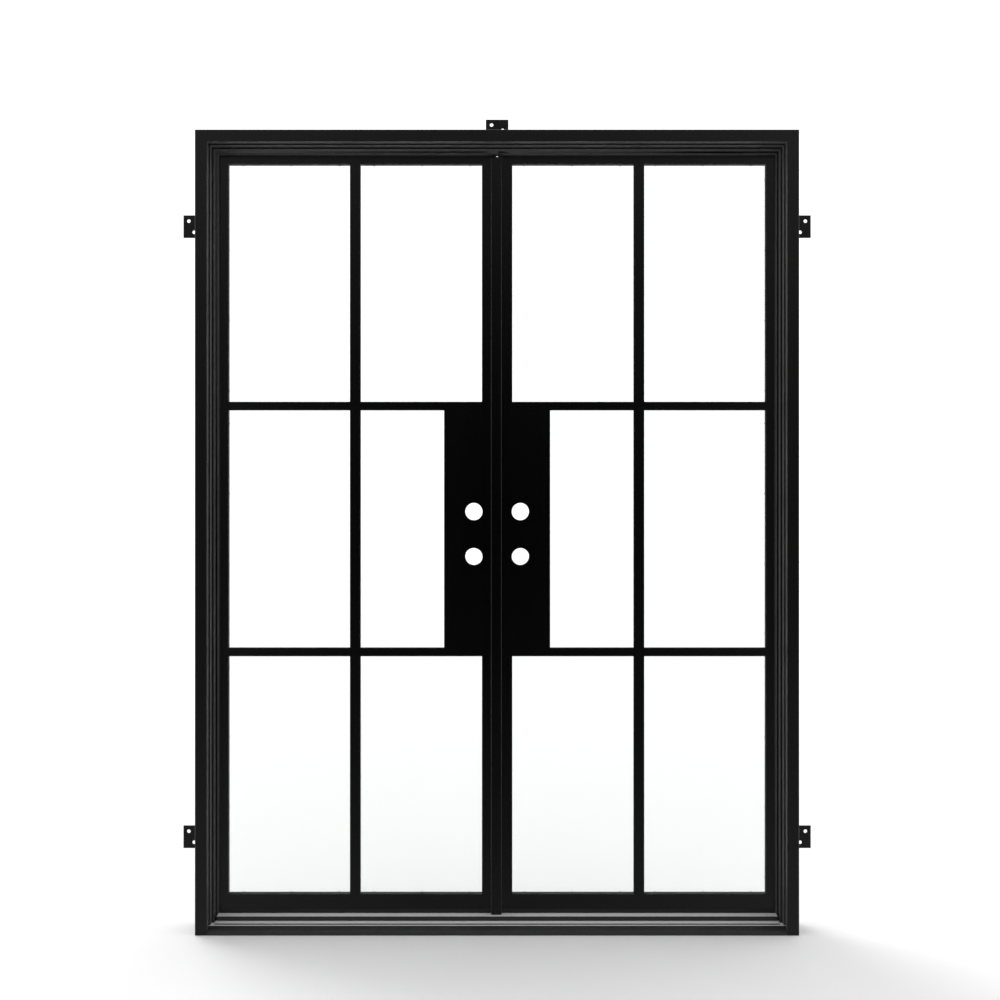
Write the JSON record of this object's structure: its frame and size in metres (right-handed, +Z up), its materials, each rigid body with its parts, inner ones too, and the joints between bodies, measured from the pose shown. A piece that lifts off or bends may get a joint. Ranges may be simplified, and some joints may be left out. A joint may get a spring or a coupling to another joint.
{
  "type": "french doors",
  "caption": "Pair of glazed black steel doors with divided lites, lock boxes and an astragal, hung in a stepped steel frame with a sill and welded mounting tabs.",
  "frame": {"origin": "middle of the underside of the sill, halfway through the frame's depth", "axes": "+Z up, -Y towards the outside of the building, +X to the right seen from outside"},
  "size_m": [1.9432, 0.1747, 2.4956],
  "materials": {
    "black_paint": "semi-gloss black powder coat over steel",
    "sill_aluminium": "worn mill-finish aluminium sill",
    "seal_rubber": "matt black weather seal",
    "spacer_black": "black warm-edge spacer",
    "clear_glass": "clear float glass",
    "plated_steel": "zinc-plated steel",
    "bronze": "plain bronze bearing washer"
  },
  "bodies": {
    "frame": {"left_jamb": "black_paint", "right_jamb": "black_paint", "head": "black_paint", "left_upper_tab": "black_paint", "left_lower_tab": "black_paint", "right_upper_tab": "black_paint", "right_lower_tab": "black_paint", "head_tab": "black_paint", "left_frame_knuckles": "black_paint", "right_frame_knuckles": "black_paint", "sill_base": "sill_aluminium", "sill_cap": "sill_aluminium", "left_jamb_seal": "seal_rubber", "right_jamb_seal": "seal_rubber", "head_seal": "seal_rubber", "sill_seal": "seal_rubber", "left_hinge_pins": "plated_steel", "right_hinge_pins": "plated_steel", "head_strike": "plated_steel", "sill_strike": "plated_steel", "left_hinge_washers": "bronze", "right_hinge_washers": "bronze"},
    "left_leaf": {"left_leaf_knuckles": "black_paint", "left_hinge_stile": "black_paint", "left_meeting_stile": "black_paint", "left_top_rail": "black_paint", "left_bottom_rail": "black_paint", "left_upright_bar": "black_paint", "left_upper_cross_bar": "black_paint", "left_lower_cross_bar": "black_paint", "left_lock_box": "black_paint", "left_beads": "black_paint", "left_sweep": "seal_rubber", "left_gaskets": "seal_rubber", "left_setting_blocks": "seal_rubber", "left_spacers": "spacer_black", "left_outer_panes": "clear_glass", "left_inner_panes": "clear_glass", "astragal": "black_paint", "astragal_seal": "seal_rubber", "bolt_guides": "plated_steel"},
    "right_leaf": {"right_leaf_knuckles": "black_paint", "right_hinge_stile": "black_paint", "right_meeting_stile": "black_paint", "right_top_rail": "black_paint", "right_bottom_rail": "black_paint", "right_upright_bar": "black_paint", "right_upper_cross_bar": "black_paint", "right_lower_cross_bar": "black_paint", "right_lock_box": "black_paint", "right_beads": "black_paint", "right_sweep": "seal_rubber", "right_gaskets": "seal_rubber", "right_setting_blocks": "seal_rubber", "right_spacers": "spacer_black", "right_outer_panes": "clear_glass", "right_inner_panes": "clear_glass"},
    "upper_bolt": {"upper_bolt": "plated_steel"},
    "lower_bolt": {"lower_bolt": "plated_steel"}
  },
  "joints": [
    {"name": "left_swing", "type": "hinge", "parent": "frame", "child": "left_leaf", "pos_m": [-0.8797, 0.0875, 1.2192], "axis": [0, 0, 1], "range_deg": [0, 105]},
    {"name": "right_swing", "type": "hinge", "parent": "frame", "child": "right_leaf", "pos_m": [0.8797, 0.0875, 1.2192], "axis": [0, 0, 1], "range_deg": [-105, 0]},
    {"name": "upper_bolt_slide", "type": "slide", "parent": "left_leaf", "child": "upper_bolt", "axis": [0, 0, 1], "range_m": [0, 0.019]},
    {"name": "lower_bolt_slide", "type": "slide", "parent": "left_leaf", "child": "lower_bolt", "axis": [0, 0, -1], "range_m": [0, 0.019]}
  ]
}
